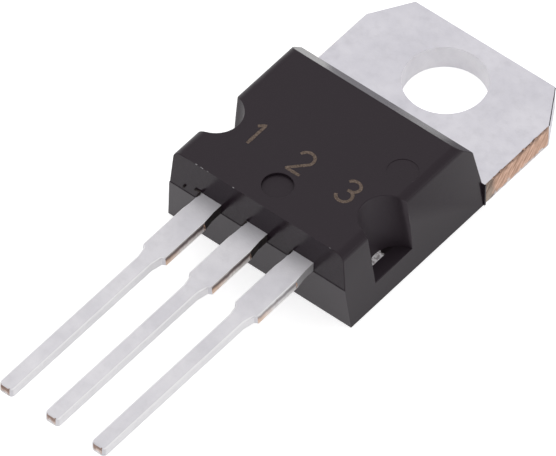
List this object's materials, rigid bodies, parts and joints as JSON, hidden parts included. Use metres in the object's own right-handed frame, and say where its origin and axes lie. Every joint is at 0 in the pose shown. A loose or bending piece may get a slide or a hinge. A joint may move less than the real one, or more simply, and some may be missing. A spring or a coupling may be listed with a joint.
{
  "type": "voltage regulator",
  "caption": "Linear voltage regulator in a flat power package: black moulded block, drilled copper heat-sink tab and straight tinned leads.",
  "frame": {"origin": "on the axis of the mounting hole, in the plane of the package's flat back", "axes": "+Z out of the moulded front, +Y from the leads towards the drilled end of the tab, +X across the package so that the input lead lies at -X and the output lead at +X"},
  "size_m": [0.0102, 0.0292, 0.0045],
  "materials": {
    "black_epoxy": "satin",
    "tinned_copper": "matte tin",
    "tinned_lead": "matte tin",
    "silicon": "polished",
    "solder": "satin",
    "bond_wire": "drawn"
  },
  "bodies": {
    "root": {"moulded_body": "black_epoxy", "heat_sink_tab": "tinned_copper", "input_lead": "tinned_lead", "output_lead": "tinned_lead", "silicon_die": "silicon", "die_solder": "solder", "input_wire": "bond_wire", "output_wire": "bond_wire", "sense_wire": "bond_wire", "ground_wire": "bond_wire"}
  },
  "joints": []
}
